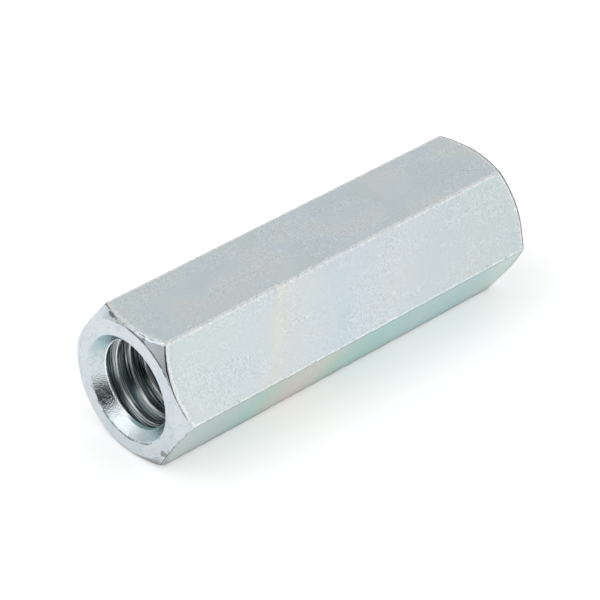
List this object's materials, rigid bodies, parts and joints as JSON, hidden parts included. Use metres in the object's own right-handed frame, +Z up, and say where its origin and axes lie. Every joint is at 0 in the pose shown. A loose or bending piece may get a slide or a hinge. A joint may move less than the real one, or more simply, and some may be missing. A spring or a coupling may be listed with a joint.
{
  "type": "hexagon coupling nut",
  "caption": "Long hexagon nut with a through thread that joins two threaded rods end to end, zinc plated steel.",
  "frame": {"origin": "on the thread axis, half-way along the nut, which is also the centre of its box", "axes": "+X along the thread axis, +Z up, square to the flat that the nut lies on"},
  "size_m": [0.035, 0.0126, 0.011],
  "materials": {
    "zinc_plated_steel": "bright zinc plated with a pale blue passivated sheen, satin"
  },
  "bodies": {
    "root": {"coupling_nut": "zinc_plated_steel"}
  },
  "joints": []
}
